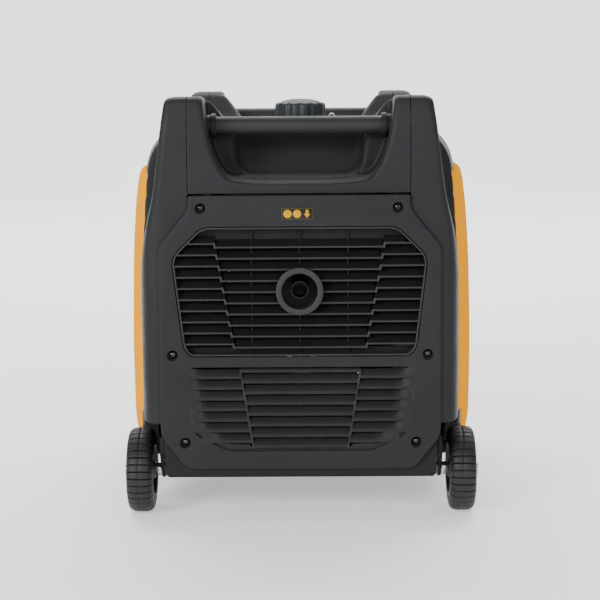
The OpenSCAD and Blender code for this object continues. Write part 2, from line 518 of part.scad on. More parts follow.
module crankshaft() { color("silver") { rod_y(12, -60, 142, 0, cz); rod_y(54, -36, -22, 0, cz); rod_y(54, 36, 50, 0, cz); rod_y(25, 139, 146, 0, cz); } }
module flywheel_rotor() { color("#55585b") difference() { union() { rod_y(84, 106.4, 112, 0, cz); rod_y(84, 66.4, 107, 0, cz); } rod_y(74, 60, 106, 0, cz); rod_y(12.01, 50, 120, 0, cz); } }
module cooling_fan() {
  color("#1f2022") difference() {
    union() { rod_y(30, 114, 138, 0, cz); rod_y(84, 114, 116.5, 0, cz); for (i = [0:11]) translate([0, 0, cz]) rotate([0, i * 30, 0]) translate([0, 114, 0]) box([-1.2, 0, 29], [1.2, 24, 84]); }
    rod_y(12.01, 110, 145, 0, cz);
  }
}
module recoil_pulley() { color("#36383a") difference() { union() { rod_y(40, 152, 156, 0, cz); rod_y(32, 156, 166, 0, cz); rod_y(40, 166, 170, 0, cz); } rod_y(10 + fit, 150, 180, 0, cz); } }
module recoil_housing() { color("#2d2e30") { difference() { union() { rod_y(94, 143, 182, 0, cz); box([-60, 143, base_z + 3], [60, 182, 90]); } rod_y(91, 140, 179, 0, cz); rod_x(5, -100, -80, 161, cz + 20); } rod_y(10, 150.5, 180, 0, cz); } }
module inverter_module() { color("#bfc2c4") { box([104, -90, 68], [159, 130, 72]); box([118, -90, 71], [157, 130, 196]); for (i = [0:13]) box([104, -86 + 15.6 * i, 71], [118.1, -82 + 15.6 * i, 196]); } }
module battery() { color("#202226") { box([-158, 40, 68], [-104, 160, 150]); rod_z(5, 150, 158, -146, 60); rod_z(5, 150, 158, -146, 140); } }

// ---------------------------------------------------------------- small pieces
module cover_screws() {
  color("#0f0f10") {
    for (s = cover_screw_xz) for (k = [-1, 1]) difference() { union() { rod_y(4.8, ry + 2, ry + 5.5, k * s[0], s[1]); rod_y(1.9, ry + 5, ry + 24, k * s[0], s[1]); } rod_y(2.2, ry + 1, ry + 3.6, k * s[0], s[1]); }
    for (s = [[151.5, 206], [138, 100]]) for (k = [-1, 1]) difference() { union() { rod_y(4.8, fy - 5.5, fy - 2, k * s[0], s[1]); rod_y(1.9, fy - 24, fy - 5, k * s[0], s[1]); } rod_y(2.2, fy - 3.6, fy - 1, k * s[0], s[1]); }
  }
}
// plain pictogram plate: two dots and an arrow, no lettering
module rear_label() {
  y = ry - 3;
  color("#101010") box([-21, y - 0.4, 367.5], [17, y - 0.02, 381]);
  color("#f2c21a") { for (x = [-14.2, -2.4]) rod_y(4.7, y - 0.7, y - 0.41, x, 374.2); along_y([[9.6, 369.8], [13.4, 374.4], [11.2, 374.4], [11.2, 379], [8, 379], [8, 374.4], [5.8, 374.4]], y - 0.7, y - 0.41); }
}

base_tray();
left_side_frame();
right_side_frame();
top_cover();
rear_cover();
outlet_grille();
front_cover();
control_panel();
left_side_panel();
right_side_panel();
rear_carry_bar();
front_carry_bar();
bar_collars();
cover_screws();
rear_label();
exhaust_pipe();
muffler();
engine_block();
crank_bearings();
cylinder_head();
carburettor();
air_filter_box();
alternator_stator();
crankshaft();
flywheel_rotor();
cooling_fan();
recoil_pulley();
recoil_housing();
recoil_bezel();
recoil_grip();
fuel_tank();
fuel_cap_insert();
fuel_cap();
tether_eye();
fuel_gauge_bezel();
fuel_gauge_lens();
fuel_gauge_needle();
inverter_module();
battery();
wheel_brackets();
axle_bolts();
left_tyre();
left_rim();
right_tyre();
right_rim();
rubber_feet();
handle_guides();
pull_handle_tubes();
pull_handle_grip();
release_button();
engine_switch();
eco_rocker();
start_button();
ac_breaker();
ac_sockets();
left_socket_lid();
right_socket_lid();
dc_panel_group();
display_lens();
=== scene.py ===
import bpy, bmesh, json, math
import numpy as np
from mathutils import Vector, Matrix


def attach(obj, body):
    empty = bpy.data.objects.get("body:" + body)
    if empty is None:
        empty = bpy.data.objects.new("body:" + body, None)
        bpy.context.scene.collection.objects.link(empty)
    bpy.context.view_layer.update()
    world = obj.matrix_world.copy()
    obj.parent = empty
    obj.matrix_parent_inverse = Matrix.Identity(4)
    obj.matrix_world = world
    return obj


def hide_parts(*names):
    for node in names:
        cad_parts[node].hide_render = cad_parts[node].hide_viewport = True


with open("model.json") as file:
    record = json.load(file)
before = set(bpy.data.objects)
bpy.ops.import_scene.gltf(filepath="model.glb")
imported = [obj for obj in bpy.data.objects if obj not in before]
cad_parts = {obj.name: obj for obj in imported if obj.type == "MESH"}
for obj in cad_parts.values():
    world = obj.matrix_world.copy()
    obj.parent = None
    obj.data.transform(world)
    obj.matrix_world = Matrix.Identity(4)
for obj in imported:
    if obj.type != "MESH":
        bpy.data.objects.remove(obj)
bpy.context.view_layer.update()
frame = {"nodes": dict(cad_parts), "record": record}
NODE = frame["nodes"]
MM = 0.001
RY, FY = -268.0, 240.0          # rear and front face of the shells, mm
MID = -28.0                     # y of a rear point + y of its front mirror point

# ------------------------------------------------------------------ materials
def _ramp(nt, stops, fac):
    r = nt.nodes.new("ShaderNodeValToRGB")
    while len(r.color_ramp.elements) < len(stops):
        r.color_ramp.elements.new(0.5)
    for e, (p, c) in zip(r.color_ramp.elements, stops):
        e.position = p
        e.color = (c, c, c, 1) if isinstance(c, float) else (*c, 1)
    nt.links.new(fac, r.inputs[0])
    return r.outputs[0]

def _noise(nt, co, scale, detail=3.0, rough=0.55, stretch=None):
    if stretch:
        m = nt.nodes.new("ShaderNodeMapping")
        m.inputs["Scale"].default_value = stretch
        nt.links.new(co, m.inputs[0]); co = m.outputs[0]
    n = nt.nodes.new("ShaderNodeTexNoise")
    n.inputs["Scale"].default_value = scale
    n.inputs["Detail"].default_value = detail
    n.inputs["Roughness"].default_value = rough
    nt.links.new(co, n.inputs["Vector"])
    return n.outputs["Fac"]

def material(name, dark, light, rough=(0.35, 0.5), grain=1100.0, bump=0.12, metallic=0.0, edge_wear_and_highlight=None, coat=0.0, mottle=9.0, stretch=None, spec=0.5, transmission=0.0, alpha=1.0):
    m = bpy.data.materials.new(name)
    m.use_nodes = True
    nt = m.node_tree
    b = nt.nodes["Principled BSDF"]
    co = nt.nodes.new("ShaderNodeTexCoord").outputs["Object"]
    big = _noise(nt, co, mottle, 4.0)
    col = _ramp(nt, [(0.3, dark), (0.7, light)], big)
    # lighter colour on rounded edges where noise spots allow: partly edge wear, partly a painted highlight along the
    # edges
    if edge_wear_and_highlight:
        g = nt.nodes.new("ShaderNodeNewGeometry").outputs["Normal"]
        bv = nt.nodes.new("ShaderNodeBevel"); bv.samples = 4; bv.inputs["Radius"].default_value = 0.0012
        dt = nt.nodes.new("ShaderNodeVectorMath"); dt.operation = "DOT_PRODUCT"
        nt.links.new(g, dt.inputs[0]); nt.links.new(bv.outputs[0], dt.inputs[1])
        edge = _ramp(nt, [(0.82, 1.0), (0.985, 0.0)], dt.outputs["Value"])
        spots = _ramp(nt, [(0.45, 0.0), (0.62, 1.0)], _noise(nt, co, 60.0))
        mul = nt.nodes.new("ShaderNodeMath"); mul.operation = "MULTIPLY"
        nt.links.new(edge, mul.inputs[0]); nt.links.new(spots, mul.inputs[1])
        mix = nt.nodes.new("ShaderNodeMix"); mix.data_type = "RGBA"
        nt.links.new(mul.outputs[0], mix.inputs[0])
        nt.links.new(col, mix.inputs[6])
        w = _ramp(nt, [(0.3, edge_wear_and_highlight), (0.7, tuple(min(1, k * 1.15) for k in edge_wear_and_highlight))], spots)
        nt.links.new(w, mix.inputs[7])
        col = mix.outputs[2]
    nt.links.new(col, b.inputs["Base Color"])
    mid = _noise(nt, co, mottle * 5, 3.0, stretch=stretch)
    nt.links.new(_ramp(nt, [(0.3, float(rough[0])), (0.7, float(rough[1]))], mid), b.inputs["Roughness"])
    fine = _noise(nt, co, grain, 2.0, stretch=stretch)
    bp = nt.nodes.new("ShaderNodeBump")
    bp.inputs["Strength"].default_value = bump
    bp.inputs["Distance"].default_value = 0.0004
    nt.links.new(fine, bp.inputs["Height"])
    nt.links.new(bp.outputs[0], b.inputs["Normal"])
    b.inputs["Metallic"].default_value = metallic
    b.inputs["Specular IOR Level"].default_value = spec
    b.inputs["Coat Weight"].default_value = coat
    b.inputs["Coat Roughness"].default_value = 0.12
    b.inputs["Transmission Weight"].default_value = transmission
    b.inputs["Alpha"].default_value = alpha
    return m

# the lighter edge colours given below stand partly for edge wear, partly for a painted highlight on rounded edges
M = {
    "shell_plastic": material("shell_plastic", (0.0165, 0.0171, 0.0186), (0.0195, 0.0202, 0.022), (0.42, 0.52), edge_wear_and_highlight=(0.065, 0.067, 0.071), spec=0.12),
    "yellow_plastic": material("yellow_plastic", (0.80, 0.31, 0.0005), (0.86, 0.34, 0.001), (0.5, 0.6), grain=900, bump=0.08, edge_wear_and_highlight=(0.9, 0.42, 0.02), coat=0.0, spec=0.0),
    "trim_plastic": material("trim_plastic", (0.0065, 0.0068, 0.0074), (0.009, 0.0094, 0.0102), (0.45, 0.58), edge_wear_and_highlight=(0.04, 0.04, 0.043), spec=0.2),
    "base_paint": material("base_paint", (0.0048, 0.005, 0.0056), (0.007, 0.0074, 0.0081), (0.42, 0.55), grain=1500, bump=0.2, edge_wear_and_highlight=(0.07, 0.07, 0.07), spec=0.22),
    "bar_paint": material("bar_paint", (0.0125, 0.0135, 0.0152), (0.0155, 0.0168, 0.0188), (0.46, 0.56), grain=1500, bump=0.1, edge_wear_and_highlight=(0.08, 0.08, 0.08), spec=0.3),
    "cap_plastic": material("cap_plastic", (0.016, 0.0195, 0.0215), (0.021, 0.0255, 0.0285), (0.4, 0.5), edge_wear_and_highlight=(0.08, 0.095, 0.1), spec=0.36),
    "black_oxide": material("black_oxide", (0.003, 0.003, 0.0035), (0.006, 0.006, 0.0065), (0.12, 0.2), grain=500, bump=0.04, coat=0.3),
    "plate_black": material("plate_black", (0.003, 0.003, 0.003), (0.005, 0.005, 0.005), (0.3, 0.4), spec=0.3),
    # heat-darkened steel; its colour is also made darker as painted shade, so the inside of the exhaust reads black
    "heat_steel": material("heat_steel", (0.006, 0.0056, 0.0052), (0.011, 0.0102, 0.0094), (0.45, 0.65), grain=300, bump=0.2, metallic=0.4, mottle=30, spec=0.3),
    "cast_alloy": material("cast_alloy", (0.13, 0.133, 0.137), (0.17, 0.174, 0.178), (0.4, 0.6), grain=500, bump=0.35, metallic=1.0),
    "bright_steel": material("bright_steel", (0.55, 0.55, 0.55), (0.65, 0.65, 0.64), (0.18, 0.3), grain=400, bump=0.08, metallic=1.0, stretch=(1, 12, 12)),
    "zinc_steel": material("zinc_steel", (0.5, 0.5, 0.48), (0.62, 0.62, 0.6), (0.25, 0.4), grain=400, bump=0.1, metallic=1.0),
    "foot_rubber": material("foot_rubber", (0.012, 0.012, 0.013), (0.02, 0.02, 0.021), (0.6, 0.75), grain=700, bump=0.2),
    "tyre_rubber": material("tyre_rubber", (0.007, 0.008, 0.0095), (0.012, 0.0135, 0.016), (0.45, 0.6), grain=800, bump=0.18, edge_wear_and_highlight=(0.035, 0.038, 0.042), mottle=25, spec=0.35),
    "rim_plastic": material("rim_plastic", (0.014, 0.0145, 0.016), (0.021, 0.0215, 0.023), (0.35, 0.5), edge_wear_and_highlight=(0.05, 0.05, 0.052)),
    "winding": material("winding", (0.36, 0.13, 0.05), (0.48, 0.19, 0.08), (0.3, 0.5), grain=300, bump=0.3),
    "tank_plastic": material("tank_plastic", (0.02, 0.021, 0.023), (0.028, 0.029, 0.032), (0.45, 0.6)),
    "lens_clear": material("lens_clear", (0.78, 0.86, 0.88), (0.84, 0.9, 0.92), (0.04, 0.09), grain=200, bump=0.01, transmission=1.0),
    "display_dark": material("display_dark", (0.008, 0.016, 0.02), (0.012, 0.022, 0.027), (0.06, 0.12), grain=200, bump=0.01, coat=0.5),
    "red_plastic": material("red_plastic", (0.5, 0.022, 0.014), (0.58, 0.03, 0.02), (0.25, 0.35), edge_wear_and_highlight=(0.7, 0.12, 0.09)),
    "green_plastic": material("green_plastic", (0.02, 0.28, 0.06), (0.03, 0.34, 0.08), (0.25, 0.35), edge_wear_and_highlight=(0.1, 0.5, 0.17)),
    "grey_plastic": material("grey_plastic", (0.22, 0.23, 0.24), (0.27, 0.28, 0.29), (0.35, 0.45), edge_wear_and_highlight=(0.4, 0.41, 0.42)),
}
# lighter copy of the dark shell plastic for the grille's lips, frame and exhaust ring: painted light on the lit lips
LIT_LIP = material("louvre_lip_painted_light", (0.0205, 0.0212, 0.0224), (0.025, 0.0258, 0.0273), (0.45, 0.55), spec=0.25)
# near-black copy of the shell plastic for the grille's sloping blades, webs, ribs and strips and the strip behind the
# rear blades: painted shade
DEEP_SHADE = material("louvre_painted_shade", (0.007, 0.0073, 0.008), (0.0095, 0.0099, 0.0108), (0.5, 0.62), spec=0.16)
# darker copy of the shell plastic for the recessed faces of the pressed blades: painted shade
SHADED_BLADE = material("pressed_blade_painted_shade", (0.0105, 0.011, 0.012), (0.0135, 0.014, 0.0152), (0.5, 0.6), spec=0.25)
GOLD = material("plate_border", (0.09, 0.062, 0.006), (0.12, 0.08, 0.01), (0.45, 0.6), grain=500, spec=0.1)
SIGN = material("plate_yellow", (0.50, 0.26, 0.0005), (0.56, 0.29, 0.001), (0.5, 0.6), grain=500, spec=0.0)

# ------------------------------------------------------------------ small geometry helpers (mm in, metres out)
def both(h):
    return [(-x, z) for x, z in h] + [(x, z) for x, z in reversed(h)]

def inset(P, d):
    P = np.asarray(P, float); n = len(P)
    A = np.roll(P, 1, 0); C = np.roll(P, -1, 0)
    u = P - A; u /= np.linalg.norm(u, axis=1)[:, None]
    v = C - P; v /= np.linalg.norm(v, axis=1)[:, None]
    m = np.stack([-u[:, 1], u[:, 0]], 1); k = np.stack([-v[:, 1], v[:, 0]], 1)
    return P + (m + k) * d / (1 + (m * k).sum(1))[:, None]

def fillet(P, r, n=5):
    """Rounds every corner with a curve whose tangent length is at most r."""
    P = [np.array(p, float) for p in P]; out = []
    rr = r if hasattr(r, "__len__") else [r] * len(P)
    for i, p in enumerate(P):
        a, c = P[i - 1], P[(i + 1) % len(P)]
        la, lc = np.linalg.norm(a - p), np.linalg.norm(c - p)
        t = min(rr[i], 0.46 * la, 0.46 * lc)
        if t < 0.3:
            out.append(p); continue
        p0, p1 = p + (a - p) * t / la, p + (c - p) * t / lc
        for j in range(n + 1):
            s = j / n
            out.append((1 - s) ** 2 * p0 + 2 * s * (1 - s) * p + s * s * p1)
    return np.array(out)

def obj_from(name, V, F, mat, body="chassis", sharp=35.0, mi=None):
    me = bpy.data.meshes.new(name)
    me.from_pydata((np.asarray(V, float) * MM).tolist(), [], [list(map(int, f)) for f in F])
    if mi and any(mi):
        for _ in range(2): me.materials.append(None)
        me.polygons.foreach_set("material_index", mi)
    o = bpy.data.objects.new(name, me)
    bpy.context.scene.collection.objects.link(o)
    finish_mesh(o, mat, sharp)
    return o

def finish_mesh(o, mat, sharp=35.0):
    bm = bmesh.new(); bm.from_mesh(o.data)
    bmesh.ops.remove_doubles(bm, verts=bm.verts, dist=1e-6)
    bmesh.ops.recalc_face_normals(bm, faces=bm.faces)
    bm.to_mesh(o.data); bm.free()
    shade(o, sharp)
    mats = mat if isinstance(mat, (list, tuple)) else [mat]
    while len(o.data.materials) < len(mats): o.data.materials.append(None)
    for i, m in enumerate(mats): o.data.materials[i] = m

def shade(o, sharp=35.0):
    me = o.data
    me.polygons.foreach_set("use_smooth", [True] * len(me.polygons))
    me.set_sharp_from_angle(angle=math.radians(sharp))
    me.update()

def bake(o, sharp=35.0):
    dg = bpy.context.evaluated_depsgraph_get()
    me = bpy.data.meshes.new_from_object(o.evaluated_get(dg))
    o.modifiers.clear()
    o.data = me
    shade(o, sharp)
    return o

class Parts:
    """Collects closed sub-meshes of one piece."""
    def __init__(self):
        self.V, self.F, self.n, self.M = [], [], 0, []
    def add(self, V, F, mi=0):
        V = np.asarray(V, float)
        self.V.append(V); self.F += [[i + self.n for i in f] for f in F]; self.n += len(V)
        self.M += list(mi) if hasattr(mi, "__len__") else [mi] * len(F)
        return self
    def mirror_x(self):
        V = np.concatenate(self.V) * [-1, 1, 1]
        F = [list(reversed(f)) for f in self.F]
        self.add(V, F, list(self.M)); return self
    def obj(self, name, mat, body="chassis", sharp=35.0):
        o = obj_from(name, np.concatenate(self.V), self.F, mat, sharp=sharp, mi=self.M)
        return o

def box(a, b):
    (x0, y0, z0), (x1, y1, z1) = a, b
    V = [(x, y, z) for x in (x0, x1) for y in (y0, y1) for z in (z0, z1)]
    return V, [(0, 1, 3, 2), (4, 6, 7, 5), (0, 4, 5, 1), (2, 3, 7, 6), (0, 2, 6, 4), (1, 5, 7, 3)]

def lathe(prof, c, axis="y", n=64, closed=True):
    """prof: list of (radius, position along the axis). Closed profiles make rings."""
    V, F, m = [], [], len(prof)
    for i in range(n):
        a = 2 * math.pi * i / n
        for r, t in prof:
            u, w = r * math.cos(a), r * math.sin(a)
            V.append({"y": (c[0] + u, c[1] + t, c[2] + w), "x": (c[0] + t, c[1] + u, c[2] + w), "z": (c[0] + u, c[1] + w, c[2] + t)}[axis])
    for i in range(n):
        j = (i + 1) % n
        for k in range(m if closed else m - 1):
            l = (k + 1) % m
            F.append((i * m + k, j * m + k, j * m + l, i * m + l))
    return V, F

def prism(P, y0, y1, rf=0.0, steps=3, rb=0.0):
    """Solid with outline P (x, z), from y0 (front, rounded by rf) to y1."""
    rings = []
    if rf > 0:
        for s in range(steps + 1):
            a = math.pi / 2 * s / steps
            rings.append((rf * (1 - math.sin(a)), y0 + rf * (1 - math.cos(a))))
    else:
        rings.append((0, y0))
    rings.append((0, y1))
    V, F = [], []
    n = len(P)
    for d, y in rings:
        Q = inset(P, d) if d > 0 else np.asarray(P, float)
        V += [(q[0], y, q[1]) for q in Q]
    for k in range(len(rings) - 1):
        for i in range(n):
            j = (i + 1) % n
            F.append((k * n + i, k * n + j, (k + 1) * n + j, (k + 1) * n + i))
    F.append(tuple(range(n)))
    F.append(tuple(range((len(rings) - 1) * n, len(rings) * n))[::-1])
    return V, F

def plate(outline, holes, y0, y1, r=1.2, rh=0.8, steps=3):
    """Flat plate in the x-z plane with rounded front edges and holes. Returns V, F."""
    bm = bmesh.new()
    front, back = [], []
    for P, rr in [(outline, r)] + [(np.asarray(h)[::-1], rh) for h in holes]:
        prev = None
        for s in range(steps + 1):
            a = math.pi / 2 * s / steps
            Q = inset(P, rr * (1 - math.sin(a)))
            cur = [bm.verts.new((q[0], y0 + rr * (1 - math.cos(a)), q[1])) for q in Q]
            if prev is None:
                front.append(cur)
            else:
                for i in range(len(cur)):
                    j = (i + 1) % len(cur)
                    bm.faces.new((prev[i], prev[j], cur[j], cur[i]))
            prev = cur
        last = [bm.verts.new((q[0], y1, q[1])) for q in P]
        for i in range(len(last)):
            j = (i + 1) % len(last)
            bm.faces.new((prev[i], prev[j], last[j], last[i]))
        back.append(last)
    for group in (front, back):
        ed = []
        for ring in group:
            for i in range(len(ring)):
                a, b = ring[i], ring[(i + 1) % len(ring)]
                e = bm.edges.get((a, b)) or bm.edges.new((a, b))
                ed.append(e)
        bmesh.ops.triangle_fill(bm, edges=ed, use_beauty=True, use_dissolve=False)
    bmesh.ops.recalc_face_normals(bm, faces=bm.faces)
    bm.verts.index_update()
    V = [tuple(v.co) for v in bm.verts]
    F = [[v.index for v in f.verts] for f in bm.faces]
    bm.free()
    return V, F

# ------------------------------------------------------------------ distance fields and surface nets
def sd2(P, A, B):
    P = np.asarray(P, float)
    A, B = np.broadcast_arrays(A, B)
    d = np.full(A.shape, 1e18); s = np.ones(A.shape)
    j = len(P) - 1
    for i in range(len(P)):
        ex, ey = P[j] - P[i]
        wx, wy = A - P[i, 0], B - P[i, 1]
        t = np.clip((wx * ex + wy * ey) / (ex * ex + ey * ey), 0, 1)
        bx, by = wx - ex * t, wy - ey * t
        d = np.minimum(d, bx * bx + by * by)
        c1, c2, c3 = B >= P[i, 1], B < P[j, 1], ex * wy > ey * wx
        s = np.where((c1 & c2 & c3) | (~c1 & ~c2 & ~c3), -s, s)
        j = i
    return s * np.sqrt(d)

def rmax(a, b, r):
    return np.minimum(np.maximum(a, b), -r) + np.sqrt(np.maximum(a + r, 0) ** 2 + np.maximum(b + r, 0) ** 2)

def rmin(a, b, r):
    return -rmax(-a, -b, r)

def nets(f, lo, hi, h, it=4):
    ax = [np.arange(lo[k], hi[k] + h, h) for k in range(3)]
    Fv = f(ax[0][:, None, None], ax[1][None, :, None], ax[2][None, None, :])
    Fv = np.broadcast_to(Fv, tuple(len(a) for a in ax)).astype(np.float32)
    S = Fv < 0
    off = np.array([(i, j, k) for i in (0, 1) for j in (0, 1) for k in (0, 1)])
    n = [len(a) - 1 for a in ax]
    c = sum(S[o[0]:o[0] + n[0], o[1]:o[1] + n[1], o[2]:o[2] + n[2]].astype(np.int8) for o in off)
    act = (c > 0) & (c < 8)
    idx = np.argwhere(act)
    vid = -np.ones(act.shape, np.int64); vid[act] = np.arange(len(idx))
    vals = [Fv[idx[:, 0] + o[0], idx[:, 1] + o[1], idx[:, 2] + o[2]].astype(float) for o in off]
    P = np.zeros((len(idx), 3)); cnt = np.zeros(len(idx))
    for a in range(8):
        for b in range(a + 1, 8):
            if np.abs(off[a] - off[b]).sum() != 1: continue
            va, vb = vals[a], vals[b]
            m = (va < 0) != (vb < 0)
            t = np.where(m, va / np.where(m, va - vb, 1), 0)
            P[m] += off[a] + (off[b] - off[a]) * t[m][:, None]; cnt += m
    P = (idx + P / cnt[:, None]) * h + np.array(lo, float)
    Q = []
    A, B = S[:-1, 1:-1, 1:-1], S[1:, 1:-1, 1:-1]
    g = np.argwhere(A != B); i, j, k = g[:, 0], g[:, 1] + 1, g[:, 2] + 1
    q = np.stack([vid[i, j - 1, k - 1], vid[i, j, k - 1], vid[i, j, k], vid[i, j - 1, k]], 1)
    w = A[g[:, 0], g[:, 1], g[:, 2]]; q[~w] = q[~w][:, ::-1]; Q.append(q)
    A, B = S[1:-1, :-1, 1:-1], S[1:-1, 1:, 1:-1]
    g = np.argwhere(A != B); i, j, k = g[:, 0] + 1, g[:, 1], g[:, 2] + 1
    q = np.stack([vid[i - 1, j, k - 1], vid[i - 1, j, k], vid[i, j, k], vid[i, j, k - 1]], 1)
    w = A[g[:, 0], g[:, 1], g[:, 2]]; q[~w] = q[~w][:, ::-1]; Q.append(q)
    A, B = S[1:-1, 1:-1, :-1], S[1:-1, 1:-1, 1:]
    g = np.argwhere(A != B); i, j, k = g[:, 0] + 1, g[:, 1] + 1, g[:, 2]
    q = np.stack([vid[i - 1, j - 1, k], vid[i, j - 1, k], vid[i, j, k], vid[i - 1, j, k]], 1)
    w = A[g[:, 0], g[:, 1], g[:, 2]]; q[~w] = q[~w][:, ::-1]; Q.append(q)
    Q = np.concatenate(Q)
    e = 0.05
    for _ in range(it):
        x, y, z = P[:, 0], P[:, 1], P[:, 2]
        v = f(x, y, z)
        G = np.stack([f(x + e, y, z) - f(x - e, y, z), f(x, y + e, z) - f(x, y - e, z), f(x, y, z + e) - f(x, y, z - e)], 1) / (2 * e)
        l = np.maximum((G * G).sum(1), 0.25)
        step = -G * (v / l)[:, None] * 0.8
        ln = np.linalg.norm(step, axis=1)
        step *= np.minimum(1, 0.5 * h / np.maximum(ln, 1e-9))[:, None]
        P = P + step
    return P, Q

def skin(name, f, lo, hi, h, mat, planes, thick=2.6, edge=0.5, mirror=False, sharp=42.0):
    """Outer skin of a field, trimmed by planes (point, normal; the normal's side is removed), thickened inwards."""
    P, Q = nets(f, lo, hi, h)
    me = bpy.data.meshes.new(name)
    me.vertices.add(len(P)); me.vertices.foreach_set("co", (P * MM).ravel())
    me.loops.add(len(Q) * 4); me.loops.foreach_set("vertex_index", Q.ravel())
    me.polygons.add(len(Q)); me.polygons.foreach_set("loop_start", np.arange(len(Q)) * 4)
    me.update(calc_edges=True); me.validate()
    o = bpy.data.objects.new(name, me)
    bpy.context.scene.collection.objects.link(o)
    bm = bmesh.new(); bm.from_mesh(me)
    for co, no in planes:
        bmesh.ops.bisect_plane(bm, geom=bm.verts[:] + bm.edges[:] + bm.faces[:], plane_co=[c * MM for c in co], plane_no=no, clear_outer=True, dist=1e-5)
    if mirror:
        bmesh.ops.scale(bm, vec=(-1, 1, 1), verts=bm.verts)
        bmesh.ops.reverse_faces(bm, faces=bm.faces)
    bm.to_mesh(me); bm.free()
    me.materials.append(mat)
    s = o.modifiers.new("thick", "SOLIDIFY"); s.thickness = thick * MM; s.offset = -1; s.use_even_offset = False; s.use_quality_normals = True
    if edge:
        b = o.modifiers.new("edge", "BEVEL"); b.width = edge * MM; b.segments = 2; b.limit_method = "ANGLE"; b.angle_limit = math.radians(60); b.use_clamp_overlap = True
    bake(o, sharp)
    return o

# ------------------------------------------------------------------ shell field
def my(P):                          # front-end copy of a (y, z) outline
    return [(MID - y, z) for y, z in P]

END = fillet(both([(157, 513.2), (162.5, 474), (169.3, 420), (173.5, 391), (185, 352), (193, 312), (194.6, 240), (193.8, 100), (187, 54)]), [12, 30, 30, 22, 26, 24, 30, 30, 8, 8, 30, 30, 24, 26, 22, 30, 30, 12])
MIDH = [(160, 462), (179, 461), (192.5, 444), (198.8, 423), (202.5, 383), (205, 347), (207.2, 250), (206.7, 130), (204, 64), (186, 57)]
MIDS = fillet(both(MIDH), [0, 16, 18, 16, 20, 20, 20, 20, 8, 6, 6, 8, 20, 20, 20, 20, 16, 18, 16, 0])
RM, RP = 1246.0, 600.0
def bow(x, y, r):                   # |x| moved outwards by what the plan's curve takes away
    return np.abs(x) + (r - np.sqrt(np.maximum(r * r - (y + 4) ** 2, 0)))
hp = [(166, -268), (183, -260), (192, -240), (196.5, -208), (198.5, -150)]
PLAN = fillet([(-x, y) for x, y in reversed(hp)] + hp + [(x, MID - y) for x, y in reversed(hp)] + [(-x, MID - y) for x, y in hp], 13)
SIDE = fillet([(-268, 52), (240, 52), (240, 475), (229, 513.2), (172, 513.2), (122, 462), (-150, 462), (-200, 513.2), (-257, 513.2), (-268, 475)], [5, 5, 16, 10, 14, 26, 26, 14, 10, 16])
SC_E = fillet(both([(114, 560), (112.5, 505), (108.5, 474), (103.5, 449), (93, 425), (78, 409.5), (40, 407.5)]), 12)
sc = [(-300, 408), (-262, 408), (-238, 405.5), (-200, 409), (-176, 423), (-163, 444), (-156, 472), (-150, 560), (-300, 560)]
SC_R = fillet(sc, [0, 6, 16, 16, 14, 12, 12, 0, 0])
SC_F = fillet(my(sc)[::-1], [0, 0, 12, 12, 14, 16, 16, 6, 0])
VALLEY = [(-82, 475), (82, 475), (105.5, 505), (106, 560), (-106, 560), (-105.5, 505)]
SC_E2 = fillet(both([(106, 560), (105.5, 505), (82, 474), (78, 450), (75, 428), (66, 411), (40, 407.5)]), [0, 6, 14, 20, 20, 12, 0, 0, 12, 20, 20, 14, 6, 0])
COVER = fillet(both([(130.5, 396.2), (131, 379), (165, 338), (167, 330), (167, 114), (164.5, 104), (140, 73), (131, 67.5)]), [3, 12, 14, 10, 14, 10, 12, 6, 6, 12, 10, 14, 10, 14, 12, 3], n=6)

def f_body(x, y, z):
    end = rmax(rmax(sd2(END, x, z), sd2(PLAN, x, y), 9), sd2(SIDE, y, z), 9)
    slab = np.abs(y + 4) - 182
    top = z - 462
    mid = rmax(rmax(sd2(MIDS, bow(x, y, RM), z), slab, 3), top, 8)
    b = rmin(end, mid, 7)
    b = rmax(b, -sd2(VALLEY, x, z), 4)
    for sp, k in ((SC_R, 1), (SC_F, -1)):
        b = rmax(b, -rmax(sd2(SC_E2, x, z), sd2(sp, y, z), 10), 5)
        b = rmax(b, -rmax(rmax(sd2(SC_E, x, z), sd2(sp, y, z), 12), k * (y + 14) + 182, 3), 6)
    return b

def f_box(x, y, z, a, b, r=0.0):
    c = [(p + q) / 2 for p, q in zip(a, b)]; e = [(q - p) / 2 - r for p, q in zip(a, b)]
    dx, dy, dz = np.abs(x - c[0]) - e[0], np.abs(y - c[1]) - e[1], np.abs(z - c[2]) - e[2]
    return np.sqrt(np.maximum(dx, 0) ** 2 + np.maximum(dy, 0) ** 2 + np.maximum(dz, 0) ** 2) + np.minimum(np.maximum(np.maximum(dx, dy), dz), 0) - r

def f_frame(x, y, z):
    b = f_body(x, y, z)
    cov = rmax(sd2(inset(COVER, 7), x, z), 60 - np.abs(y + 14), 1)          # open behind both end covers
    b = rmax(b, -cov, 2)
    b = rmax(b, -f_box(x, y, z, (179.3, -183, 72), (260, 175, 418.6), 3), 1.5)      # recess for the side panel
    b = rmax(b, -f_box(x, y, z, (163.3, -330, 0), (260, -143, 121.5), 6), 3)        # wheel arch
    b = rmax(b, -f_box(x, y, z, (-200, -330, 0), (163.6, 330, 100.6), 0.5), 1)    # base tray
    return b

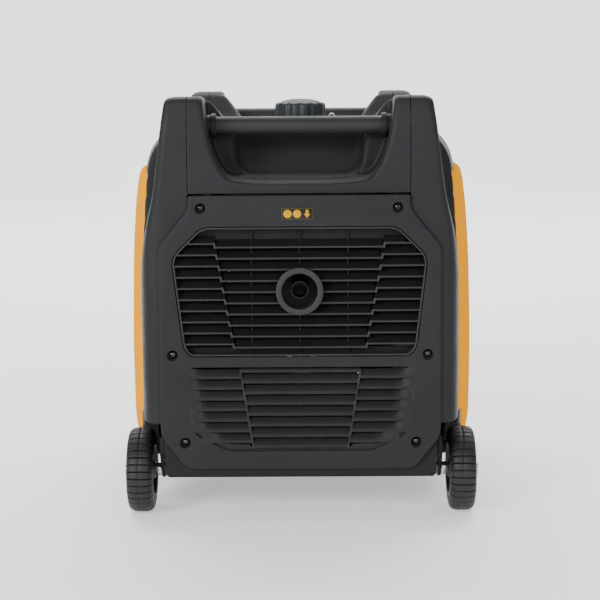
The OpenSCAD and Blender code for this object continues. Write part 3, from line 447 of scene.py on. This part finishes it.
H = 2.2
def prism_z(r, cx, cy, z0, z1, n=64):
    V = [(cx + r * math.cos(2 * math.pi * i / n), cy + r * math.sin(2 * math.pi * i / n), z) for z in (z0, z1) for i in range(n)]
    return V, [tuple(range(n))[::-1], tuple(range(n, 2 * n))] + [(i, (i + 1) % n, n + (i + 1) % n, n + i) for i in range(n)]
top = skin("top_cover_shell", f_body, (-136, -276, 392), (136, 248, 517), H, M["shell_plastic"],
           [((0, 0, 398.2), (0, 0, -1)), ((130.45, 0, 0), (1, 0, 0)), ((-130.45, 0, 0), (-1, 0, 0))])
P = Parts()                         # openings for the fuel neck and the fuel gauge
P.add(*prism_z(27.0, 0, 10, 446, 486)); P.add(*prism_z(17.0, 76, 42, 446, 486))
c = P.obj("deck_cutter", M["shell_plastic"])
m = top.modifiers.new("openings", "BOOLEAN"); m.operation = "DIFFERENCE"; m.object = c; m.solver = "EXACT"
bpy.context.view_layer.update()
bake(top, 42)
bpy.data.objects.remove(c)
top.data.materials.clear(); top.data.materials.append(M["shell_plastic"])
top.data.polygons.foreach_set("material_index", [0] * len(top.data.polygons))
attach(top, "chassis"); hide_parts("top_cover")
for side, sgn in (("right", False), ("left", True)):
    o = skin(side + "_frame_shell", f_frame, (125, -276, 46), (209, 248, 517), H, M["shell_plastic"], [((131.35, 0, 0), (-1, 0, 0))], mirror=sgn)
    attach(o, "chassis"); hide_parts(side + "_side_frame")

# yellow side panels
PSEC = fillet(both([(150, 417.6), (208.5, 417.6), (212.6, 404), (217, 369), (221.4, 304), (224.2, 190), (222.8, 94), (219, 72.6), (150, 72.6)]), [0, 9, 12, 30, 40, 60, 20, 9, 0, 0, 9, 20, 60, 40, 30, 12, 9, 0])
def f_panel(x, y, z):
    b = rmax(sd2(PSEC, bow(x, y, RP), z), np.abs(y + 4) - 178.3, 3.5)
    return rmax(b, 58.0 - np.hypot(y + 205, z - 52), 2.5)
def f_panel_left(x, y, z):
    return rmax(f_panel(x, y, z), -f_box(x, y, z, (150, -29.2, 262.8), (260, 69.2, 327.2), 1), 1.2)
for side, f in (("right", f_panel), ("left", f_panel_left)):
    o = skin(side + "_panel_skin", f, (176, -187, 68), (228, 179, 422), H, M["yellow_plastic"], [((180.4, 0, 0), (-1, 0, 0))], thick=2.6, edge=0, mirror=side == "left")
    P = Parts()
    for i in range(7):
        a, b = fillet([(66, 130 + 14 * i), (150, 130 + 14 * i), (150, 136 + 14 * i), (66, 136 + 14 * i)], 2.9, 4), None
        n = len(a); V = [(172, q[0], q[1]) for q in a] + [(240, q[0], q[1]) for q in a]
        P.add(V, [tuple(range(n)), tuple(range(n, 2 * n))[::-1]] + [(k, (k + 1) % n, n + (k + 1) % n, n + k) for k in range(n)])
    c = P.obj("slot_cutter", M["yellow_plastic"])
    if side == "left":
        c.scale.x = -1
    bpy.context.view_layer.update()
    m = o.modifiers.new("slots", "BOOLEAN"); m.operation = "DIFFERENCE"; m.object = c; m.solver = "EXACT"
    bake(o, 42)
    bpy.data.objects.remove(c)
    o.data.materials.clear(); o.data.materials.append(M["yellow_plastic"]); o.data.materials.append(M["trim_plastic"])
    o.data.polygons.foreach_set("material_index", [0] * len(o.data.polygons))
    for q in o.data.polygons:         # panel faces inside the wheel arch and at its lower rear take the black trim material
        if math.hypot(q.center[1] / MM + 205, q.center[2] / MM - 52) < 60.9 or (q.center[1] < -0.14 and q.center[2] < 0.12 and abs(q.center[0]) < 0.2):
            q.material_index = 1
    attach(o, "chassis"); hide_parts(side + "_side_panel")

# ------------------------------------------------------------------ rear cover with formed louvres
GRILLE = fillet(both([(109, 359.3), (119, 356), (148, 327), (151, 316), (139, 215), (131, 204.3)]), [14, 16, 20, 18, 16, 12, 12, 16, 18, 20, 16, 14], n=6)
LOWER = fillet(both([(127, 191.8), (135.5, 187), (135, 176), (126, 112), (121, 107), (86, 90)]), [10, 8, 8, 10, 10, 8, 8, 10, 10, 8, 8, 10], n=5)
SCREWS = [(116, 381), (151.6, 206.3), (138, 100)]
YC = -270.3                       # outer face of the rear cover

def circle(x, z, r, n=40):
    return [(x + r * math.cos(2 * math.pi * i / n), z + r * math.sin(2 * math.pi * i / n)) for i in range(n)]

def xz(P, y):
    return [(p[0], y, p[1]) for p in P]

def cross_x(P, Z, x):             # where the outline crosses height Z on the +x side
    P = np.asarray(P); best = 0
    for i in range(len(P)):
        (x0, z0), (x1, z1) = P[i - 1], P[i]
        if (z0 - Z) * (z1 - Z) < 0:
            best = max(best, x0 + (x1 - x0) * (Z - z0) / (z1 - z0))
    return best

cov = Parts()
cov.add(*plate(COVER, [GRILLE, LOWER] + [circle(k * x, z, 6.4) for x, z in SCREWS for k in (-1, 1)], YC, YC + 2.6, 2.0, 0.8))
for x, z in SCREWS:               # wells
    for k in (-1, 1):
        cov.add(*lathe([(6.5, 2.4), (6.3, 7.2), (4.2, 7.6), (4.2, 8.6), (7.3, 8.6), (7.5, 2.4)], (k * x, YC, z), n=40))

def blade(parts, xs, depth, zt, zb, lipz, gapz):
    """One pressed louvre. xs: stations; depth(x) 0..1; zt: top edge; zb: bottom of the lip."""
    V, F, mi = [], [], []
    for x in xs:
        d = depth(x)
        top = zt + gapz * (1 - d)
        d = d * 0.72
        pr = [(YC + 0.05 + 9.0 * d, top), (YC + 0.05 + 8.2 * d, top - 0.5 * d), (YC + 1.6 * d + 0.05, zb + lipz + 1.0), (YC + 0.5 * d + 0.02, zb + lipz + 0.1), (YC + 0.05, zb + lipz - 0.8), (YC + 0.05, zb + 0.7), (YC + 0.5 * d + 0.02, zb),
              (YC + 2.2 * d + 0.3, zb), (YC + 2.2 * d + 1.2, zb + 1.2), (YC + 9.0 * d + 1.6, top + 0.4 * d)]
        V += [(x, y, z) for y, z in pr]
    m = 10
    for i in range(len(xs) - 1):
        e = max(depth(xs[i]), depth(xs[i + 1]))
        for k in range(m):
            l = (k + 1) % m
            F.append((i * m + k, i * m + l, (i + 1) * m + l, (i + 1) * m + k))
            # deep blade faces and end caps take index 1, the darker blade material (painted shade); lips and shallow
            # ends keep the shell plastic
            mi.append(0 if k in (2, 3, 4, 5) or e < 0.3 else 1)
    F.append(tuple(range(m))[::-1]); F.append(tuple(range((len(xs) - 1) * m, len(xs) * m))); mi += [1, 1]
    parts.add(V, F, mi)

lip = 3.0
for i in range(7):                # side blades
    zl = 179.3 - 13.0 * i
    xo = min(cross_x(LOWER, zl + 4, 1), cross_x(LOWER, zl - 1.5, 1)) + 3.0
    if i == 6: xo = cross_x(LOWER, zl + 3, 1) + 2
    xi = 71.4 - 13.2 * (187 - zl) / 92
    fade = 23 if i < 6 else 30
    dep = lambda x, xo=xo, fade=fade: min(1.0, max(0.0, (xo - 3 - abs(x)) / (fade - 3)))
    xs = list(np.linspace(xi, xo - fade, 3)) + list(np.linspace(xo - fade, xo, 11))[1:]
    for k in (1, -1):
        blade(cov, [k * x for x in xs], dep, min(zl - lip / 2 + 10.6, 191.2), zl - lip / 2, lip, 2.4)
for i in range(8):                # middle blades
    zl = 186.9 - 13.1 * i
    xe = 71.2 - 14.6 * (187 - zl) / 92
    blade(cov, [-xe, 0, xe], lambda x: 1.0, min(zl - lip / 2 + 10.6, 191.4), zl - lip / 2, lip, 2.4)
for k in (1, -1):                 # slanting step webs between side and middle blades
    V = [(k * (71.6 + dx), y, 188.8) for dx in (-1.1, 1.1) for y in (YC + 0.9, YC + 8)] + [(k * (56.6 + dx), y, 93.4) for dx in (-1.1, 1.1) for y in (YC + 0.9, YC + 8)]
    cov.add(V, [(0, 1, 3, 2), (4, 6, 7, 5), (0, 4, 5, 1), (2, 3, 7, 6), (0, 2, 6, 4), (1, 5, 7, 3)])
cov.add(*box((-0.8, YC + 6.4, 92), (0.8, YC + 11, 191)))
cov.add(*prism([(-86, 88.6), (86, 88.6), (122, 106), (128, 116), (128, 120), (119, 113), (96, 98.5), (62, 97.2), (57.5, 92.2), (-57.5, 92.2), (-62, 97.2), (-96, 98.5), (-119, 113), (-128, 120), (-128, 116), (-122, 106)], YC + 3.4, YC + 5.0))
# backing strip behind the upper blades, in the near-black material: painted shade
cov.add(*prism([(-74, 183), (74, 183), (75, 191.4), (-75, 191.4)], YC + 10.2, YC + 11.2), [2] * 6)
# blade faces and the backing strip take darker copies of the shell plastic: painted shade
rear = cov.obj("rear_cover_moulding", [M["shell_plastic"], SHADED_BLADE, DEEP_SHADE])
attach(rear, "chassis"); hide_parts("rear_cover")

# ------------------------------------------------------------------ outlet grille
YG = -269.6
g = Parts()
g.add(*plate(inset(GRILLE, 0.9), [inset(GRILLE, 3.0)], YG, YG + 15, 0.6, 0.6))
EX = 283.0
def span(parts, pr, fa, fb, mi):
    V = [(fa(z), y, z) for y, z in pr] + [(fb(z), y, z) for y, z in pr]
    m = len(pr)
    parts.add(V, [(k, (k + 1) % m, m + (k + 1) % m, m + k) for k in range(m)] + [tuple(range(m))[::-1], tuple(range(m, 2 * m))], mi)
def slat(parts, xa, xb, zc, ya, xa2=None, xb2=None):
    """Louvre from xa to xb (functions of height or numbers) with its lip centred on zc; xa2, xb2: ends of the sloping blade."""
    lt = 1.12
    fn = lambda v: v if callable(v) else (lambda z: v)
    span(parts, [(ya + 0.5, zc - lt), (ya, zc - lt + 0.5), (ya, zc + lt - 0.5), (ya + 0.5, zc + lt), (ya + 2.4, zc + lt), (ya + 2.4, zc - lt)], fn(xa), fn(xb), 0)
    # the sloping blade behind the lip takes index 1, the near-black material: painted shade
    span(parts, [(ya + 2.2, zc - lt + 0.2), (ya + 2.2, zc + lt - 0.1), (ya + 13.5, zc + 9.4), (ya + 13.5, zc + 7.4)], fn(xa2 if xa2 is not None else xa), fn(xb2 if xb2 is not None else xb), 1)
for i in range(10):
    zs, zc = 339.3 - 13.32 * i, 334.9 - 13.28 * i
    xi = 100.0 - 21.0 * i / 9
    xc = xi - 1.6
    xo2 = min(cross_x(GRILLE, z, 1) for z in (zs, min(zs + 10, 357))) - 1.6
    for k in (1, -1):
        slat(g, k * xi, (lambda z, k=k: k * (cross_x(GRILLE, min(max(z, 206), 357.5), 1) - 1.6)), zs, YG + 0.7, None, k * xo2)
        V = [(k * (xi + a), y, z) for (a, z) in ((-0.6, zs + 1.25), (2.0, zs + 1.25), (0.4, zc - 1.25), (-2.2, zc - 1.25)) for y in (YG + 0.75, YG + 2.9)]
        g.add(V, [(0, 1, 3, 2), (2, 3, 5, 4), (4, 5, 7, 6), (6, 7, 1, 0), (0, 2, 4, 6), (1, 7, 5, 3)])
        V = [(k * (xi + a), y, z) for (a, z) in ((-0.3, zs + 1.1), (1.6, zs + 1.1), (0.1, zc - 1.1), (-1.8, zc - 1.1)) for y in (YG + 2.8, YG + 13)]
        g.add(V, [(0, 1, 3, 2), (2, 3, 5, 4), (4, 5, 7, 6), (6, 7, 1, 0), (0, 2, 4, 6), (1, 7, 5, 3)], 1)
    hit = lambda z: math.sqrt(max(0.0, 25.0 ** 2 - (z - EX) ** 2))
    if any(abs(zz - EX) < 25 for zz in (zc - 1.3, zc + 1.3, zc + 9.4)):
        for k in (1, -1):
            slat(g, (lambda z, k=k: k * max(hit(z), 0.4)), k * xc, zc, YG + 0.7)
    else:
        slat(g, -xc, xc, zc, YG + 0.7)
for x in (-57, 57):
    g.add(*box((x - 0.8, YG + 9, 206), (x + 0.8, YG + 15, 357)), 1)
g.add(*box((-0.8, YG + 9, 206), (0.8, YG + 15, EX - 26)), 1); g.add(*box((-0.8, YG + 9, EX + 26), (0.8, YG + 15, 357)), 1)
def strip(z0, z1, cut=1.8):
    h0, h1 = cross_x(GRILLE, z0, 1) - cut, cross_x(GRILLE, z1, 1) - cut
    g.add(*prism([(-h0, z0), (h0, z0), (h1, z1), (-h1, z1)], YG + 13.2, YG + 14.6), [1] * 6)
strip(342, 350); strip(349.8, 357); strip(206.2, 214)
# ring
g.add(*lathe([(27.2, -275.6), (27.8, -275.3), (28.1, -274.7), (28.1, -262), (24.5, -256), (22.4, -250), (21.2, -250), (21.2, -274.6), (21.5, -275.3), (22.1, -275.6)], (0, 0, EX), n=96))
# lips in the lighter material (painted light); blades, webs, ribs and strips in the near-black one (painted shade)
gr = g.obj("outlet_grille_moulding", [LIT_LIP, DEEP_SHADE])
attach(gr, "chassis"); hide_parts("outlet_grille")

# ------------------------------------------------------------------ screws, plate
s = Parts()
def screw(parts, x, z, y, sg):
    t = lambda v: sg * v
    parts.add(*lathe([(0.01, t(2.6)), (1.7, t(2.6)), (1.95, t(0.3)), (2.3, t(0)), (3.1, t(0.25)), (3.9, t(0.95)), (4.5, t(2.1)), (4.7, t(3.2)), (4.7, t(4.2)), (0.01, t(4.2))], (x, y, z), n=32, closed=False))
for x, z in SCREWS:
    for k in (-1, 1):
        screw(s, k * x, z, -266.4, 1)
for x, z in SCREWS[1:]:
    for k in (-1, 1):
        screw(s, k * x, z, FY - 2, -1)
sc_o = s.obj("cover_screw_heads", M["black_oxide"])
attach(sc_o, "chassis"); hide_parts("cover_screws")

lab = Parts().add(*prism(fillet([(-20.8, 367.4), (16.8, 367.4), (16.8, 381.1), (-20.8, 381.1)], 1.2), YC - 0.5, YC - 0.02, 0.15)).obj("information_plate", M["plate_black"])
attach(lab, "chassis"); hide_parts("rear_label")
R1 = fillet([(-20.4, 367.8), (16.4, 367.8), (16.4, 380.7), (-20.4, 380.7)], 1.0)
bd = Parts().add(*plate(R1, [inset(R1, 0.55)], YC - 0.62, YC - 0.4, 0.04, 0.04)).obj("plate_border", GOLD)
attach(bd, "chassis")
sg = Parts()
for x in (-13.6, -2.4):
    sg.add(*lathe([(0.01, -0.68), (4.5, -0.68), (4.8, -0.5), (4.8, -0.35), (0.01, -0.35)], (x, YC, 374.25), n=40, closed=False))
sg.add(*prism([(9.3, 369.7), (13.1, 374.3), (10.9, 374.3), (10.9, 378.9), (7.7, 378.9), (7.7, 374.3), (5.5, 374.3)], YC - 0.68, YC - 0.35, 0.0))
sgo = sg.obj("plate_signs", SIGN)
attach(sgo, "chassis")

# ------------------------------------------------------------------ carry bars and collars
for nm, y in (("rear", -215.0), ("front", 187.0)):
    o = Parts().add(*lathe([(9.2, -131), (11, -131), (11, -60), (11, 0), (11, 60), (11, 131), (9.2, 131)], (0, y, 475.5), "x", 72)).obj(nm + "_bar_tube", M["bar_paint"])
    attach(o, "chassis"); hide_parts(nm + "_carry_bar")
c = Parts()
for y in (-215.0, 187.0):
    c.add(*lathe([(11.05, 98.6), (13.6, 98.6), (14.6, 99.2), (15.0, 100.4), (15.0, 104.4), (13.2, 105.2), (13.2, 110.5), (11.05, 110.5)], (0, y, 475.5), "x", 56))
c.mirror_x()
co = c.obj("bar_end_collars", M["trim_plastic"])
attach(co, "chassis"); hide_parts("bar_collars")

# ------------------------------------------------------------------ wheels
def tyre(side):
    NL, K = 36, 10
    W, R = 32.0, 52.0
    prof = [(35, 1.2), (38, 0.5), (43, 0.3), (46.3, 1.0), (48.3, 2.1), (49.8, 3.6), (50.8, 5.4), (51.5, 7.6), (51.9, 10.4), (52.0, 13.2), (52.0, 15.2), (51.5, 15.7), (51.5, 16.3), (52.0, 16.8), (52.0, 18.8), (51.9, 21.6), (51.5, 24.4), (50.8, 26.6), (49.8, 28.4), (48.3, 29.9), (46.3, 31.0), (43, 31.7), (38, 31.5), (35, 30.8)]
    n, m = NL * K, len(prof)
    V = []
    for i in range(n):
        u = (i % K) / K
        e = min(u, 1 - u)
        gr_ = max(0.0, 1 - (e / 0.105) ** 2) if e < 0.105 else 0.0
        a = 2 * math.pi * i / n
        for r, t in prof:
            w = min(1.0, max(0.0, (r - 44.5) / 2.5))
            rr = r - 2.3 * gr_ * w
            tt = t + (1 if t < W / 2 else -1) * 0.9 * gr_ * w * (1 if r < 50.5 else 0)
            V.append((181.2 + tt, -205 + rr * math.cos(a), 52 + rr * math.sin(a)))
    F = [(i * m + k, ((i + 1) % n) * m + k, ((i + 1) % n) * m + (k + 1) % m, i * m + (k + 1) % m) for i in range(n) for k in range(m)]
    if side == "left":
        V = [(-x, y, z) for x, y, z in V]
    return V, F
for side in ("left", "right"):
    o = obj_from(side + "_tyre_tread", *tyre(side), M["tyre_rubber"], sharp=50)
    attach(o, side + "_wheel"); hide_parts(side + "_tyre")

# ------------------------------------------------------------------ fuel cap
def cap():
    NF, K = 14, 12
    prof = [(28.2, 466.2), (32.4, 466.2), (33.5, 467.2), (33.5, 480), (33.5, 492.5), (33.1, 495.2), (31.9, 497.0), (30.0, 498.0), (27.6, 498.3), (26.2, 498.6), (25.2, 499.6), (20, 501.2), (12, 502.5), (5, 503), (0.05, 503), (0.05, 497), (20, 496), (28.2, 492)]
    n, m = NF * K, len(prof); V = []
    for i in range(n):
        u = (i % K) / K
        fl = 0.5 - 0.5 * math.cos(2 * math.pi * u)
        fl = fl ** 2.2
        a = 2 * math.pi * i / n
        for r, z in prof:
            w = min(1, max(0, (r - 30.5) / 2))
            rr = r - 1.9 * fl * w
            V.append((rr * math.cos(a), 10 + rr * math.sin(a), z))
    F = [(i * m + k, ((i + 1) % n) * m + k, ((i + 1) % n) * m + (k + 1) % m, i * m + (k + 1) % m) for i in range(n) for k in range(m)]
    return V, F
o = obj_from("fuel_cap_moulding", *cap(), M["cap_plastic"], sharp=45)
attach(o, "fuel_cap"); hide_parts("fuel_cap")

# ------------------------------------------------------------------ CAD nodes that are shown as they are, with rounded edges and materials
SLOT = {p["node"]: p["material_slot"] for p in frame["record"]["subparts"]}
replaced = {"top_cover", "left_side_frame", "right_side_frame", "left_side_panel", "right_side_panel", "rear_cover", "outlet_grille", "cover_screws", "rear_label", "rear_carry_bar", "front_carry_bar", "bar_collars", "left_tyre", "right_tyre", "fuel_cap"}
WIDE = {"base_tray": 1.2, "front_cover": 0.9, "rubber_feet": 1.5, "pull_handle_grip": 1.2, "recoil_grip": 1.6, "recoil_bezel": 0.8, "engine_switch": 1.0, "left_socket_lid": 0.8, "right_socket_lid": 0.8, "left_rim": 0.7, "right_rim": 0.7, "wheel_brackets": 0.7, "battery": 1.5, "fuel_tank": 3.0, "air_filter_box": 2.5}
for n, ob in NODE.items():
    if n in replaced:
        continue
    ob.data.materials.clear(); ob.data.materials.append(M[SLOT[n]])
    ob.data.polygons.foreach_set("use_smooth", [True] * len(ob.data.polygons))
    w = ob.modifiers.new("weld", "WELD"); w.merge_threshold = 1e-5
    b = ob.modifiers.new("edge", "BEVEL")
    b.width = WIDE.get(n, 0.35) * MM; b.segments = 2; b.limit_method = "ANGLE"; b.angle_limit = math.radians(38); b.harden_normals = True; b.use_clamp_overlap = True

# ------------------------------------------------------------------ camera, light, floor
scene = bpy.context.scene
cam_d = bpy.data.cameras.new("camera"); cam = bpy.data.objects.new("camera", cam_d)
scene.collection.objects.link(cam); scene.camera = cam
pitch, yaw, roll = math.radians(8.256), math.radians(-0.53), math.radians(-0.43)
Fw = Vector((math.sin(yaw) * math.cos(pitch), math.cos(yaw) * math.cos(pitch), -math.sin(pitch)))
Rt = Vector((math.cos(yaw), -math.sin(yaw), 0)); Up = Rt.cross(Fw)
R2 = Rt * math.cos(roll) + Up * math.sin(roll); U2 = Up * math.cos(roll) - Rt * math.sin(roll)
cam.location = (0.0175, -2.1272, 0.5418)
cam.rotation_mode = "QUATERNION"; cam.rotation_quaternion = Matrix((R2, U2, -Fw)).transposed().to_quaternion()
cam_d.sensor_width = 36; cam_d.lens = 95.45; cam_d.clip_end = 50

def area(name, loc, target, size, power, color=(1, 1, 1)):
    d = bpy.data.lights.new(name, "AREA"); d.shape = "RECTANGLE"; d.size, d.size_y = size; d.energy = power; d.color = color
    o = bpy.data.objects.new(name, d); scene.collection.objects.link(o)
    o.location = loc
    o.rotation_euler = (Vector(target) - Vector(loc)).to_track_quat("-Z", "Y").to_euler()
    return o
area("key_left", (-2.0, -2.8, 1.25), (0, -0.1, 0.28), (0.9, 1.2), 86)
area("fill_right", (1.8, -3.0, 1.1), (0, -0.1, 0.28), (0.8, 1.2), 20)
area("front_soft", (0.0, -3.3, 1.7), (0, -0.1, 0.28), (1.8, 0.7), 30)
area("top_soft", (0.0, -0.3, 2.7), (0, 0, 0.3), (1.4, 1.4), 8)
area("floor_wash", (0.0, 2.4, 3.6), (0, 2.6, 0), (6.0, 1.6), 330)
w = bpy.data.worlds.new("studio"); scene.world = w; w.use_nodes = True
w.node_tree.nodes["Background"].inputs[0].default_value = (0.95, 0.97, 1.0, 1)
w.node_tree.nodes["Background"].inputs[1].default_value = 0.36

prof = [(-7, 0.0), (4.4, 0.0)] + [(4.4 + 1.2 * math.sin(a), 1.2 - 1.2 * math.cos(a)) for a in np.linspace(0, math.pi / 2, 14)[1:]] + [(5.6, 6.0)]
V = [(x * 1000, y * 1000, z * 1000) for x in (-7, 7) for y, z in prof]
k = len(prof)
fp = material("floor_paint", (0.86, 0.86, 0.86), (0.9, 0.9, 0.9), (0.7, 0.8), grain=60, bump=0.01, mottle=1.0)
fp.node_tree.nodes["Principled BSDF"].inputs["Emission Color"].default_value = (1, 1, 1, 1)
fp.node_tree.nodes["Principled BSDF"].inputs["Emission Strength"].default_value = 0.5
floor = obj_from("floor", V, [(i, i + 1, k + i + 1, k + i) for i in range(k - 1)], fp, sharp=60)
